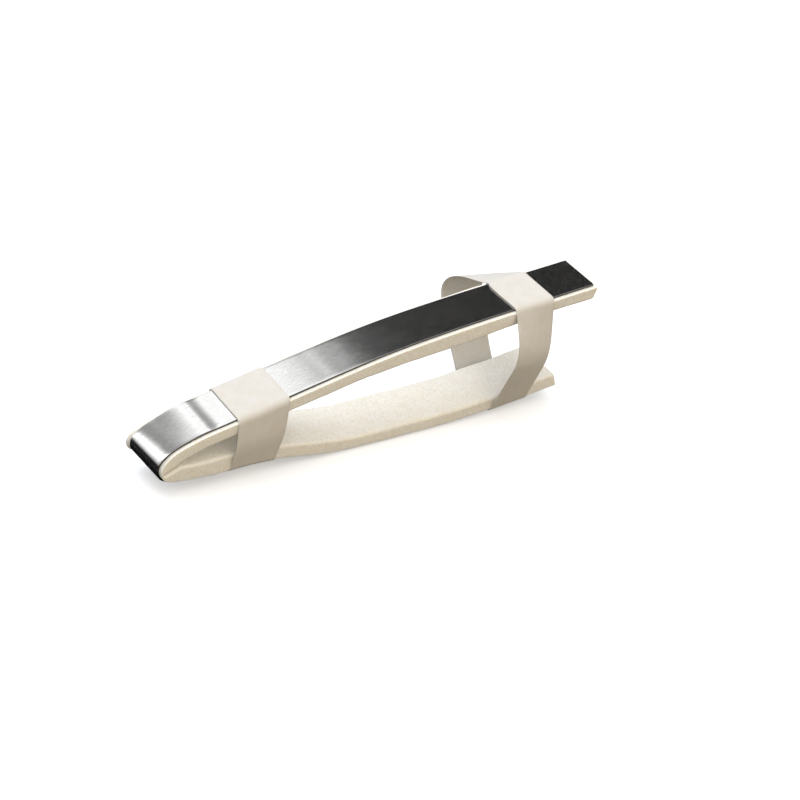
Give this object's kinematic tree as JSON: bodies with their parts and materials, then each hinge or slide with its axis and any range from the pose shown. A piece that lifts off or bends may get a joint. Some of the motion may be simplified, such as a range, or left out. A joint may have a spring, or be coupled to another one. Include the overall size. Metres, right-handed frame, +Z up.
{
  "type": "finger splint",
  "caption": "Foam-padded aluminium strip bent in a long hairpin round a fingertip, with fabric tape bands that hold its legs at the finger and at the wrist.",
  "frame": {"origin": "middle of the flat stretch of the strip's underside that the splint rests on, under the palm", "axes": "+X from the fingertip to the wrist, +Y across the hand, +Z up from the palm side to the back of the hand"},
  "size_m": [0.2282, 0.0639, 0.0632],
  "materials": {
    "brushed_aluminium": "soft sheet aluminium brushed along its length, satin to bright",
    "cream_foam": "matt open-cell foam with a fine even pore",
    "fabric_tape": "matt woven cloth tape, off-white"
  },
  "bodies": {
    "root": {"aluminium_strip": "brushed_aluminium", "foam_pad": "cream_foam", "finger_strap": "fabric_tape", "wrist_strap": "fabric_tape"}
  },
  "joints": []
}
